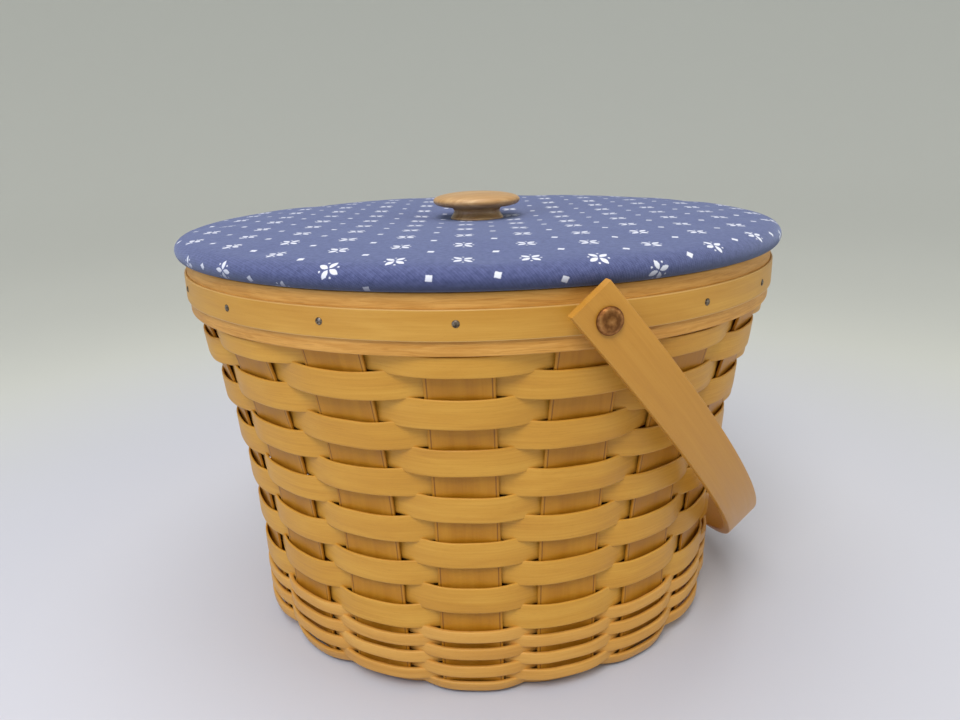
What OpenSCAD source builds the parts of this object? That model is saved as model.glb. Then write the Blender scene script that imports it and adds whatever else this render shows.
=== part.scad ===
// Round splint sewing basket with a padded cloth lid and a riveted swing handle, in millimetres.
// The origin is at the middle of the base on the floor, +Z is up, the handle turns about Y.

/* [Basket] */
// Radius of the uprights' middle surface near the floor
base_r = 130.5; // [122:0.5:138]
// Radius of the uprights' middle surface inside the rim
rim_r = 154; // [143:0.5:158]
// Height of the rim bands' lower edge above the floor
rim_z = 178.65; // [150:0.05:210]
// How late the wall flares out, where 1 is a straight cone
flare = 2.4; // [1.6:0.1:2.8]
// Bend radius of the uprights where the base turns up into the wall
corner_r = 8; // [7:0.5:12]

/* [Splints] */
// Number of splints that cross under the basket, each of which makes two uprights
splint_count = 9; // [7:1:10]
// Width of an upright
splint_w = 29.4; // [22:0.2:32]
// Thickness of a splint
splint_t = 1.25; // [0.9:0.05:1.6]
// Width of a splint where all of them cross
waist_w = 14; // [10:0.5:18]
// Gap between the edges of two splints that lie side by side in the base
splint_gap = 0.3; // [0.2:0.1:1]

/* [Weavers] */
// Number of wide rows, with the top one tucked under the rim
wide_rows = 12; // [10:1:14]
// Height of the top row
top_row_h = 7.9; // [6:0.1:10]
// Number of narrow rows from the wide ones down to the floor
narrow_rows = 8; // [6:1:10]
// Height of the part of the wall that is woven in narrow rows
narrow_h = 36.9; // [30:0.1:44]
// How far the narrow rows open out towards the floor, where 1 is even
narrow_spread = 1; // [0.9:0.05:1.3]
// Width of the row that lies under the base and carries the basket
foot_row_w = 5; // [4:0.1:7]
// Thickness of a weaver
weaver_t = 1.2; // [0.9:0.05:1.6]
// Gap between two rows
row_gap = 0.15; // [0.1:0.05:0.4]
// Play between a weaver and an upright
weave_play = 0.2; // [0.15:0.05:0.5]
// How far a weaver arches out over the middle of an upright
over_arch = 1.1; // [0.6:0.1:1.6]
// How far a weaver arches in behind the middle of an upright
under_arch = 0.4; // [0.2:0.1:0.8]
// Depth to which the foot row is worn flat
foot_cut = 0.5; // [0.3:0.1:0.7]

/* [Rim] */
// Height of the inner and outer rim bands
band_h = 25.4; // [20:0.1:32]
// Thickness of the outer rim band
outer_band_t = 2.75; // [1.5:0.05:4]
// Thickness of the inner rim band
inner_band_t = 3.2; // [1.5:0.05:5]
// Height of the trim strip on the outer band
trim_h = 12.7; // [8:0.1:18]
// Thickness of the trim strip
trim_t = 1.3; // [0.8:0.05:2.5]
// Play between a band and the uprights
band_play = 0.1; // [0.05:0.05:0.3]
// Drop of the uprights' top ends below the rim
end_drop = 0.3; // [0.1:0.1:1]
// Diameter of a tack's head
tack_head_d = 3.4; // [2.5:0.1:4.5]
// Height of a tack's head
tack_head_h = 0.7; // [0.5:0.1:1.2]
// Diameter of a tack's shank
tack_d = 1.4; // [1:0.1:2]

/* [Handle] */
// Width of the bent handle strip
handle_w = 20.5; // [16:0.5:24]
// Thickness of the handle strip
handle_t = 4.5; // [3:0.1:6]
// Length from the rivets to the inside of the hoop's crown
handle_rise = 222; // [200:1:240]
// Length of the handle's ends past the rivets
handle_end = 11.5; // [8:0.5:13]
// Least air between the hanging handle and the weave or the floor
handle_air = 1; // [0.5:0.1:4]
// Air between the handle and the lid's edge as it swings past
handle_pass = 2.9; // [2:0.1:4]
// Height of the rivets above the middle of the rim
pivot_lift = 1.5; // [0:0.1:2]
// Diameter of the spacers that hold the handle off the rim
spacer_d = 12.5; // [11:0.5:16]
// Play beside the handle on its rivets
handle_play = 0.3; // [0.2:0.05:0.5]
// Diameter of a rivet's shank
rivet_d = 4.8; // [4:0.1:6]
// Diameter of a rivet's domed head
rivet_head_d = 11.4; // [9:0.1:13]
// Height of a rivet's domed head
rivet_head_h = 2.4; // [1.5:0.1:3.5]
// Radial clearance of the handle on a rivet
rivet_clear = 0.06; // [0.02:0.01:0.1]
// Diameter of the burr washer under a rivet's inner end
burr_d = 10; // [8:0.5:13]
// Thickness of the burr washer
burr_t = 1; // [0.6:0.1:1.5]

/* [Lid] */
// How far the padded lid stands out past the rim
lid_over = 3.3; // [2.4:0.1:6]
// Height of the lid's widest place above the rim
lid_mid = 5.2; // [4:0.1:7]
// Height of the crown above the lid's widest place
lid_crown = 7.4; // [5:0.1:12]
// Depth of the dimple that the knob pulls into the crown
dimple = 2.2; // [1:0.1:4]
// How far the dimple reaches out from the knob
dimple_reach = 26; // [18:1:40]
// Thickness of the cloth cover
cover_t = 0.8; // [0.5:0.1:1.2]
// Width of the cloth turned in under the board
hem_w = 22; // [16:0.5:30]
// Thickness of the lid board
board_t = 4.8; // [3:0.1:5.5]
// Thickness of padding round the board's edge
pad_edge = 3; // [2:0.1:5]
// Thickness of the disc that drops into the mouth
plug_t = 5; // [3:0.1:8]
// Play of that disc in the inner band
plug_play = 1; // [0.6:0.1:2]
// Gap between the lid and the rim it rests on
lid_gap = 0.3; // [0.2:0.05:0.5]

/* [Knob] */
// Diameter of the knob's cap
knob_d = 49; // [36:0.5:56]
// Height of the knob
knob_h = 14.8; // [12:0.1:20]
// Height of the knob's widest place above its foot
knob_mid = 10.4; // [8:0.1:11.5]
// Diameter of the knob's neck
neck_d = 26; // [18:0.5:30]
// Diameter of the knob's foot
knob_foot_d = 30; // [24:0.5:34]
// Height of the knob's foot
knob_foot_h = 1.6; // [1:0.1:2.4]
// Diameter of the knob's screw
screw_d = 4; // [3:0.5:6]
// Depth of the screw in the knob
screw_in = 9; // [6:0.5:10]
// Diameter of the screw's head
screw_head_d = 8; // [7:0.5:11]
// Height of the screw's head
screw_head_h = 2.4; // [1.5:0.1:3.5]
// Diameter of the washer under the screw's head
washer_d = 16; // [12:0.5:24]
// Thickness of that washer
washer_t = 1.2; // [0.8:0.1:2]

/* [Hidden] */
uprights = 2 * splint_count;
upright_pitch = 360 / uprights;
row_count = wide_rows + narrow_rows + 1;
lie = splint_t / 2 + weave_play + weaver_t / 2;
edge_margin = 0.3;
rim_gap = 0.35;
rim_top = rim_z + band_h;
rim_mid = rim_z + band_h / 2;
pivot_z = rim_mid + pivot_lift;
floor_z = lie + over_arch + weaver_t / 2 - foot_cut;
corner_z = floor_z + corner_r;
corner_c = wall_r(corner_z) - corner_r;
corner_len = corner_r * PI / 2;
corner_d = narrow_h - corner_z;
floor_d = corner_d + corner_len;
wide_pitch = (rim_z - rim_gap - top_row_h - narrow_h) / (wide_rows - 1);
waist_x = (waist_w + splint_gap) / 2 / tan(upright_pitch / 2);
full_x = (splint_w + splint_gap) / 2 / tan(upright_pitch / 2);
outer_band_in = norm([rim_r + splint_t / 2, splint_w / 2]) + band_play;
outer_band_out = outer_band_in + outer_band_t;
trim_out = outer_band_out + trim_t;
inner_band_out = rim_r - splint_t / 2 - band_play;
inner_band_in = inner_band_out - inner_band_t;
burr_x = sqrt(inner_band_in * inner_band_in - burr_d * burr_d / 4);
lid_r = trim_out + lid_over;
handle_in = lid_r + handle_pass;
handle_out = handle_in + handle_t;
spacer_out = handle_in - handle_play;
weave_out = lie + over_arch + weaver_t / 2;
handle_hang = max([for (h = [20:0.5:70]) if (hang_air(h) >= handle_air) h]);
lid_low = rim_top + lid_gap;
lid_mid_z = rim_top + lid_mid;
board_r = lid_r - cover_t - pad_edge;
board_z = lid_low + cover_t;
hem_r = lid_r - hem_w;
crown_power = 26;
top_steps = [0.12, 0.16, 0.24, 0.34, 0.46, 0.6, 0.74, 0.84, 0.9, 0.94, 0.965, 0.982, 0.993, 0.998];
plug_r = inner_band_in - plug_play;
plug_z = lid_low - plug_t;
knob_z = crown_z(knob_foot_d / 2);
screw_z = plug_z - washer_t;
hole_d = screw_d + 1;
wood = "burlywood";
pale_wood = "wheat";
blue = "slateblue";
copper = "chocolate";
steel = "dimgray";

// Radius of the uprights' middle surface at a height on the wall
function wall_r(z) = base_r + (rim_r - base_r) * pow(min(max(z, 0), rim_z) / rim_z, flare);

// A point of the uprights' middle surface and the way out of it, as [radius, height, out, up]
function wall_point(z) = [wall_r(z), z, 1, 0];
function corner_point(a) = [corner_c + corner_r * cos(a), corner_z - corner_r * sin(a), cos(a), -sin(a)];
function floor_point(run) = [corner_c - run, floor_z, 0, -1];

// The same, at a distance along the surface below the wide rows
function skin_point(d) =
    d <= corner_d ? wall_point(narrow_h - d)
    : d <= floor_d ? corner_point(90 * (d - corner_d) / corner_len)
    : floor_point(d - floor_d);

// Distance along the surface at which row k starts: wide rows, then narrow ones, then the foot row
function wide_start(k) =
    k == 1 ? narrow_h - rim_z + rim_gap
    : -(wide_rows + 1 - k) * wide_pitch;
function narrow_start(k) = floor_d * pow(k / narrow_rows, narrow_spread);
function row_start(k) =
    k <= wide_rows ? wide_start(k)
    : k <= row_count ? narrow_start(k - wide_rows - 1)
    : floor_d + foot_row_w;

// Extra lift for a row that lies as a chord across the base's bend
function bend_lift(a, b) = (corner_r + lie) * (1 / cos(acos(min(1, a[2] * b[2] + a[3] * b[3])) / 2) - 1);

// Odd rows pass over odd uprights, and even rows over even ones
function passes_over(k, j) = (k + j) % 2 == 0;

// Distance of row k's middle from the uprights' middle surface, at upright j
function weave_offset(k, j, in_middle, lift) =
    passes_over(k, j) ? lie + lift + (in_middle ? over_arch : 0)
    : -lie - (in_middle ? under_arch : 0);

// A point at a distance out of the surface, at an angle from an upright's middle
function weave_point(p, out, from_middle, angle) =
    let (r = p[0] / cos(from_middle) + p[2] * out)
    [r * sin(angle), -r * cos(angle), max(0, p[1] + p[3] * out)];

// Half the angle that an upright takes up at a radius
function half_angle(r) = atan((splint_w / 2 + edge_margin) / r);

// One closed row, with four cross-sections over each upright
module weaver(k) {
    top = skin_point(row_start(k) + row_gap / 2);
    low = skin_point(row_start(k + 1) - row_gap / 2);
    lift = bend_lift(top, low);
    reach = half_angle(min(top[0], low[0]));
    half = weaver_t / 2;
    shares = [-1, -1 / 3, 1 / 3, 1];
    points = [
        for (j = [0:uprights - 1])
            for (share = shares)
                let (
                    off = weave_offset(k, j, abs(share) < 0.5, lift),
                    from_middle = share * reach,
                    angle = j * upright_pitch + from_middle
                )
                each [
                    weave_point(low, off + half, from_middle, angle),
                    weave_point(top, off + half, from_middle, angle),
                    weave_point(top, off - half, from_middle, angle),
                    weave_point(low, off - half, from_middle, angle)
                ]
    ];
    sections = len(points) / 4;
    faces = [
        for (i = [0:sections - 1])
            for (c = [0:3])
                let (
                    a = 4 * i + c,
                    b = 4 * i + (c + 1) % 4,
                    next_a = 4 * ((i + 1) % sections) + c,
                    next_b = 4 * ((i + 1) % sections) + (c + 1) % 4
                )
                each [[a, b, next_b], [a, next_b, next_a]]
    ];
    polyhedron(points, faces, convexity = 10);
}

// Height that splint i gains over the others, at a distance from the middle of the base
function stack_rise(i, x) = (i - 1) * splint_t * min(1, max(0, (full_x - x) / (full_x - waist_x)));

// One side of splint i's long profile, from the rim down to the middle of the base
function splint_side(i, out) = concat(
    [[rim_r + out, rim_top - end_drop]],
    [for (s = [12:-1:1]) let (z = corner_z + (rim_z - corner_z) * s / 12) [wall_r(z) + out, z]],
    [for (a = [0:15:90]) let (p = corner_point(a)) [p[0] + p[2] * out, p[1] + p[3] * out]],
    [for (x = [full_x, waist_x, 0]) [x, floor_z - out + stack_rise(i, x)]]);

// Half the outline of a splint seen from above, drawn in to the waist at the middle
function splint_edge(side) = [
    [0, side * waist_w / 2],
    [waist_x, side * waist_w / 2],
    [full_x, side * splint_w / 2],
    [rim_r + splint_w, side * splint_w / 2]
];

function reversed(list) = [for (i = [len(list) - 1:-1:0]) list[i]];

// Turns a part built along +X so that it points along -Y, and then on by an angle
module at_angle(angle) {
    rotate([0, 0, angle - 90]) children();
}

// The hole that a rivet takes through everything at its height, along X
module rivet_hole(clear) {
    translate([0, 0, pivot_z])
        rotate([0, 90, 0])
            cylinder(h = 2 * handle_out, d = rivet_d + 2 * clear, center = true, $fn = 48);
}

module half_splint(i) {
    intersection() {
        rotate([90, 0, 0])
            linear_extrude(height = splint_w + 2, center = true)
                polygon(concat(splint_side(i, splint_t / 2), reversed(splint_side(i, -splint_t / 2))));
        linear_extrude(height = rim_top)
            polygon(concat(splint_edge(-1), reversed(splint_edge(1))));
    }
}

module upright_splint(i) {
    color(wood)
        at_angle((i - 1) * upright_pitch)
            difference() {
                union() {
                    half_splint(i);
                    mirror([1, 0, 0]) half_splint(i);
                }
                if (i == 1) rivet_hole(0);
            }
}

// A flat strip bent into a ring, drilled for both rivets
module rim_ring(in_r, out_r, low, high) {
    color(wood)
        difference() {
            rotate_extrude($fn = 144)
                translate([in_r, low])
                    square([out_r - in_r, high - low]);
            at_angle(0) rivet_hole(0);
        }
}

module inner_band() {
    rim_ring(inner_band_in, inner_band_out, rim_z, rim_top);
}

module outer_band() {
    rim_ring(outer_band_in, outer_band_out, rim_z, rim_top);
}

module trim_strip() {
    rim_ring(outer_band_out, trim_out, rim_mid - trim_h / 2, rim_mid + trim_h / 2);
}

// A low dome on a flat round, for tack and rivet heads, with its flat at the origin
module dome(d, h) {
    sphere_r = (d * d / 4 + h * h) / (2 * h);
    intersection() {
        translate([0, 0, h - sphere_r]) sphere(r = sphere_r, $fn = 96);
        cylinder(h = h, d = d, $fn = 48);
    }
}

// A tack through every upright that has no rivet
module rim_tacks() {
    color(steel)
        for (j = [0:uprights - 1])
            if (j % splint_count != 0)
                at_angle(j * upright_pitch)
                    translate([0, 0, rim_mid])
                        rotate([0, 90, 0]) {
                            translate([0, 0, trim_out]) dome(tack_head_d, tack_head_h);
                            translate([0, 0, inner_band_in])
                                cylinder(h = trim_out - inner_band_in + tack_head_h / 2, d = tack_d, $fn = 24);
                        }
}

// The place of a point on the hoop's lower edge, when the handle hangs at an angle below level
function hang_point(h, run, side) = [
    run * cos(h) - handle_w / 2 * sin(h),
    side,
    pivot_z - run * sin(h) - handle_w / 2 * cos(h)
];

// Least air round the hanging handle: from its inside to the weave, and from its crown to the floor
function hang_air(h) = min(concat(
    [hang_point(h, handle_rise + handle_t, 0)[2]],
    [for (a = [0:10:80])
        let (p = hang_point(h, handle_rise * cos(a), handle_in * sin(a)))
        norm([p[0], p[1]]) - wall_r(p[2]) - weave_out]));

// Half an ellipse, for the inside of the hoop or a larger one round it
function hoop(grow) = [for (a = [-90:5:90]) [(handle_rise + grow) * cos(a), (handle_in + grow) * sin(a)]];

module handle() {
    inside = hoop(0);
    outside = hoop(handle_t);
    ends = [[-handle_end, handle_out], [-handle_end, handle_in]];
    far_ends = [[-handle_end, -handle_in], [-handle_end, -handle_out]];
    color(pale_wood)
        translate([0, 0, pivot_z])
            rotate([0, handle_hang, 0])
                difference() {
                    linear_extrude(height = handle_w, center = true)
                        polygon(concat(outside, ends, reversed(inside), far_ends));
                    rotate([90, 0, 0])
                        cylinder(h = 3 * handle_out, d = rivet_d + 2 * rivet_clear, center = true, $fn = 48);
                }
}

// A rivet from its head outside the handle to its closed end inside the rim, along +X
module rivet() {
    head_x = handle_out + handle_play;
    closed_h = rivet_head_h / 2;
    end_x = burr_x - burr_t - closed_h;
    color(copper)
        translate([0, 0, pivot_z])
            rotate([0, 90, 0]) {
                translate([0, 0, head_x]) dome(rivet_head_d, rivet_head_h);
                translate([0, 0, end_x]) cylinder(h = head_x - end_x + closed_h, d = rivet_d, $fn = 48);
                translate([0, 0, end_x]) cylinder(h = closed_h, d = rivet_d + 2, $fn = 48);
            }
}

// A wooden spacer that seats on the trim strip and stops short of the handle
module spacer() {
    color(wood)
        difference() {
            translate([0, 0, pivot_z])
                rotate([0, 90, 0])
                    cylinder(h = spacer_out, d = spacer_d, $fn = 64);
            cylinder(h = rim_top, r = trim_out, $fn = 144);
            rivet_hole(0);
        }
}

// A flat washer that bridges the inner band's curve under the rivet's closed end
module burr() {
    color(copper)
        difference() {
            translate([burr_x - burr_t, 0, pivot_z])
                rotate([0, 90, 0])
                    cylinder(h = burr_t, d = burr_d, $fn = 64);
            rivet_hole(0);
        }
}

// Height of the lid's top at a radius
function crown_z(r) =
    lid_mid_z + lid_crown * sqrt(1 - pow(r / lid_r, crown_power)) - dimple * exp(-pow(r / dimple_reach, 2));

// The lid's outline from the screw hole, flat under the knob, over the crown, round the edge
// and in under the board to a radius, drawn in by a margin
function lid_outline(end_r, margin) = concat(
    [for (r = [hole_d / 2, knob_foot_d / 2]) [r, knob_z - margin]],
    [for (s = top_steps)
        [s * (lid_r - margin), lid_mid_z + (crown_z(s * lid_r) - lid_mid_z) * (lid_crown - margin) / lid_crown]],
    [for (a = [0:15:90])
        [board_r + (lid_r - margin - board_r) * cos(a), lid_mid_z - (lid_mid_z - lid_low - margin) * sin(a)]],
    [[end_r, lid_low + margin]]);

module lid_cover() {
    outside = lid_outline(hem_r, 0);
    inside = lid_outline(hem_r, cover_t);
    color(blue)
        rotate_extrude($fn = 144)
            polygon(concat(outside, reversed(inside)));
}

// The padding fills the cover down to the board and round its edge
module lid_pad() {
    color("lightgray")
        difference() {
            rotate_extrude($fn = 144)
                polygon(lid_outline(hole_d / 2, cover_t));
            translate([0, 0, board_z - 1]) cylinder(h = board_t + 1, r = board_r, $fn = 144);
        }
}

module drilled_disc(r, low, thickness) {
    translate([0, 0, low])
        difference() {
            cylinder(h = thickness, r = r, $fn = 144);
            translate([0, 0, -1]) cylinder(h = thickness + 2, d = hole_d, $fn = 48);
        }
}

module lid_board() {
    color(pale_wood) drilled_disc(board_r, board_z, board_t);
}

// The disc that covers the turned-in cloth and centres the lid in the mouth
module lid_plug() {
    color(pale_wood) drilled_disc(plug_r, plug_z, plug_t);
}

// The knob's outline from its foot up the neck and round the cap
function knob_outline() =
    let (
        cap_low = knob_mid * 0.5,
        neck_low = knob_foot_h,
        cap_r = knob_d / 2,
        neck_r = neck_d / 2
    )
    concat(
        [[knob_foot_d / 2, 0], [knob_foot_d / 2, neck_low]],
        [[neck_r, neck_low + 1], [neck_r, cap_low]],
        [for (a = [-60:15:0]) [neck_r + (cap_r - neck_r) * cos(a), knob_mid + (knob_mid - cap_low) * sin(a)]],
        [for (a = [10:10:90]) [cap_r * cos(a), knob_mid + (knob_h - knob_mid) * sin(a)]]);

module knob() {
    color(wood)
        translate([0, 0, knob_z])
            difference() {
                rotate_extrude($fn = 96)
                    polygon(concat([[0, 0]], knob_outline()));
                translate([0, 0, -1]) cylinder(h = screw_in + 1, d = screw_d, $fn = 48);
            }
}

module knob_screw() {
    color(steel)
        union() {
            translate([0, 0, screw_z]) cylinder(h = knob_z + screw_in - screw_z, d = screw_d, $fn = 48);
            translate([0, 0, screw_z])
                mirror([0, 0, 1]) dome(screw_head_d, screw_head_h);
        }
}

module knob_washer() {
    color(steel) drilled_disc(washer_d / 2, screw_z, washer_t);
}

for (i = [1:splint_count]) {
    upright_splint(i);
}
for (k = [1:wide_rows]) {
    color(wood) weaver(k);
}
for (k = [1:narrow_rows]) {
    color(wood) weaver(wide_rows + k);
}
color(wood) weaver(row_count);  // foot_weaver
inner_band();
outer_band();
trim_strip();
rim_tacks();
handle();
at_angle(0) rivet();  // rivet_front
at_angle(180) rivet();  // rivet_back
at_angle(0) spacer();  // spacer_front
at_angle(180) spacer();  // spacer_back
at_angle(0) burr();  // burr_front
at_angle(180) burr();  // burr_back
lid_board();
lid_pad();
lid_cover();
lid_plug();
knob();
knob_screw();
knob_washer();
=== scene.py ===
import math

import bmesh
import bpy
from mathutils import Matrix, Vector, noise


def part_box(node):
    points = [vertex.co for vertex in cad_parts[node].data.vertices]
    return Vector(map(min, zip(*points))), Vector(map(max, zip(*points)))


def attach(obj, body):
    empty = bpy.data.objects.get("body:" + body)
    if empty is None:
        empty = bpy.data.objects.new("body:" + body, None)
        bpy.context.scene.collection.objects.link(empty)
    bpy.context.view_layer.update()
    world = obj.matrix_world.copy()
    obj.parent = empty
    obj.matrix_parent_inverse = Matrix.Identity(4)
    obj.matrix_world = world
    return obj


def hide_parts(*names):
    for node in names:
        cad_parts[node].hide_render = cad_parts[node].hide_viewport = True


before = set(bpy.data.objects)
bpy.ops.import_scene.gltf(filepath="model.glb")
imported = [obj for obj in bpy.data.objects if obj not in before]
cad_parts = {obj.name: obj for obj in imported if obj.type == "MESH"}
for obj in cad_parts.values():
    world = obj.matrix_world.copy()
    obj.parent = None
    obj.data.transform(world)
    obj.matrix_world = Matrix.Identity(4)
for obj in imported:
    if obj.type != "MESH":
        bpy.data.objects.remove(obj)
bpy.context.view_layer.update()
scene = bpy.context.scene
scene.view_settings.view_transform = "Standard"
print("frame:", len(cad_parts), "CAD nodes")

# The kinds of node that come up most
mathNode, vectorNode = "ShaderNodeMath", "ShaderNodeVectorMath"
splitNode, joinNode = "ShaderNodeSeparateXYZ", "ShaderNodeCombineXYZ"
poleR = 1e-7  # a smaller radius is a pole


def linear(hexText):
    parts = [int(hexText[i:i + 2], 16) / 255 for i in (1, 3, 5)]
    return [c / 12.92 if c <= 0.04045 else ((c + 0.055) / 1.055) ** 2.4 for c in parts] + [1.0]


# Feeds inputs with numbers, with sockets, or with the first output of a node
def feed(tree, node, links):
    for key, value in links.items():
        if isinstance(value, bpy.types.Node):
            value = value.outputs[0]
        if isinstance(value, bpy.types.NodeSocket):
            tree.links.new(value, node.inputs[key])
        else:
            node.inputs[key].default_value = value


# Adds a node with its settings and links; settings in one word are its operation
def addNode(tree, kind, settings=None, links=None):
    node = tree.nodes.new(kind)
    if isinstance(settings, str):
        settings = {"operation": settings}
    for key, value in (settings or {}).items():
        setattr(node, key, value)
    feed(tree, node, links or {})
    return node


def newMaterial(name, sockets):
    material = bpy.data.materials.new(name)
    material.use_nodes = True
    shader = material.node_tree.nodes["Principled BSDF"]
    feed(material.node_tree, shader, sockets)
    return material, material.node_tree, shader


def setRamp(node, stops):
    ramp = node.color_ramp
    while len(ramp.elements) < len(stops):
        ramp.elements.new(0.5)
    for element, (place, colour) in zip(ramp.elements, stops):
        element.position = place
        element.color = colour
    return node


# Colour that goes from a look's dark tone over its middle to its light one
def toneRamp(tree, tone, look, *places):
    ramp = addNode(tree, "ShaderNodeValToRGB", None, {0: tone})
    return setRamp(ramp, [(place, linear(look[key])) for place, key in zip(places, ("dark", "mid", "light"))])


def addPiece(name, mesh, material=None):
    piece = bpy.data.objects.new(name, mesh)
    scene.collection.objects.link(piece)
    if material:
        mesh.materials.append(material)
    return piece


def settle(piece, body, slot, *nodes):
    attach(piece, body)
    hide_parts(*nodes)
    return piece


# A closed turned shape about Z from its outline of (radius, height); a pole closes it
def turned(name, outline, steps=96):
    bm = bmesh.new()
    rings = []
    for radius, height in outline:
        if radius < poleR:
            rings.append([bm.verts.new((0, 0, height))])
        else:
            angles = [2 * math.pi * i / steps for i in range(steps)]
            rings.append([bm.verts.new((radius * math.cos(a), radius * math.sin(a), height)) for a in angles])
    for low, high in zip(rings, rings[1:]):
        for i in range(steps):
            j = (i + 1) % steps
            if len(low) == 1:
                bm.faces.new((low[0], high[j], high[i]))
            elif len(high) == 1:
                bm.faces.new((low[i], low[j], high[0]))
            else:
                bm.faces.new((low[i], low[j], high[j], high[i]))
    bmesh.ops.recalc_face_normals(bm, faces=bm.faces)
    for face in bm.faces:
        face.smooth = True
    mesh = bpy.data.meshes.new(name)
    bm.to_mesh(mesh)
    bm.free()
    return mesh


# Points of a smooth line through the given ones
def smoothLine(points, parts):
    line = []
    for i in range(len(points) - 1):
        a, b = points[max(i - 1, 0)], points[i]
        c, d = points[i + 1], points[min(i + 2, len(points) - 1)]
        for step in range(parts):
            t = step / parts
            line.append(tuple(
                0.5 * (2 * q + (r - p) * t + (2 * p - 5 * q + 4 * r - s) * t * t + (3 * q - p - 3 * r + s) * t ** 3)
                for p, q, r, s in zip(a, b, c, d)))
    line.append(tuple(points[-1]))
    return line


# Camera at the photo's place
cameraView = {
    "place": (-0.1264, -0.4247, 0.2618), "turn": -16.5, "pitch": 73.5, "roll": -1.6,
    "lens": 28.796, "sensor": 36, "near": 0.01,
}
cameraData = bpy.data.cameras.new("photoCamera")
cameraData.sensor_width = cameraView["sensor"]
cameraData.lens = cameraView["lens"]
cameraData.clip_start = cameraView["near"]
camera = bpy.data.objects.new("photoCamera", cameraData)
scene.collection.objects.link(camera)
camera.matrix_world = (
    Matrix.Translation(cameraView["place"])
    @ Matrix.Rotation(math.radians(cameraView["turn"]), 4, "Z")
    @ Matrix.Rotation(math.radians(cameraView["pitch"]), 4, "X")
    @ Matrix.Rotation(math.radians(cameraView["roll"]), 4, "Z"))
scene.camera = camera

# Studio: a round pale sweep, and soft lamps above, in front and at both sides
studio = {
    "floor": "#c9ccd6", "wall": "#d2d5cf", "fadeFrom": 0.3, "fadeTo": 0.7,
    "world": "#eef1f6", "worldStrength": 0.38, "middle": [(0.0, 0.0), (0.3, 0.0)],
    "sweep": [(0.62, 0.0), (1.2, 0.0), (1.75, 0.13), (2.15, 0.5), (2.35, 1.05), (2.4, 1.9)],
    "lamps": [
        ("roofLamp", (-0.1, 0.1, 1.75), (0.0, 0.0, 0.1), 1.5, 15.0, "#fff8ee"),
        ("frontLamp", (-0.55, -0.95, 1.35), (0.0, 0.0, 0.12), 0.75, 15.6, "#fffaf3"),
        ("leftLamp", (-1.1, -0.5, 0.55), (0.0, 0.0, 0.1), 0.9, 3.0, "#a3bcff"),
        ("sideLamp", (1.25, -0.75, 0.8), (0.0, 0.0, 0.1), 1.0, 4.0, "#f6f8ff"),
    ],
}
sweepMesh = turned("paleSweep", studio["middle"] + smoothLine(studio["sweep"], 10), 128)
# Matt laminate that goes over from a near white table to a light grey wall
sweepMaterial, tree, shader = newMaterial("mattLaminate", {"Roughness": 0.6, "Specular IOR Level": 0.3})
place = addNode(tree, "ShaderNodeTexCoord")
away = addNode(tree, vectorNode, "LENGTH", {0: place.outputs["Object"]})
fade = addNode(tree, "ShaderNodeMapRange", {"interpolation_type": "SMOOTHSTEP"},
               {"Value": away.outputs["Value"], "From Min": studio["fadeFrom"], "From Max": studio["fadeTo"]})
tint = setRamp(addNode(tree, "ShaderNodeValToRGB", None, {0: fade}),
               [(0.0, linear(studio["floor"])), (1.0, linear(studio["wall"]))])
feed(tree, shader, {"Base Color": tint})
addPiece("paleSweep", sweepMesh, sweepMaterial)

world = bpy.data.worlds.new("softStudio")
scene.world = world
world.use_nodes = True
sky = world.node_tree.nodes["Background"]
feed(world.node_tree, sky, {"Color": linear(studio["world"]), "Strength": studio["worldStrength"]})
for name, spot, aim, size, power, tone in studio["lamps"]:
    lampData = bpy.data.lights.new(name, "AREA")
    lampData.shape = "DISK"
    lampData.size = size
    lampData.energy = power
    lampData.color = linear(tone)[:3]
    lamp = bpy.data.objects.new(name, lampData)
    scene.collection.objects.link(lamp)
    lamp.location = spot
    lamp.rotation_euler = (Vector(aim) - Vector(spot)).to_track_quat("-Z", "Y").to_euler()
print("camera and studio done")


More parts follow.
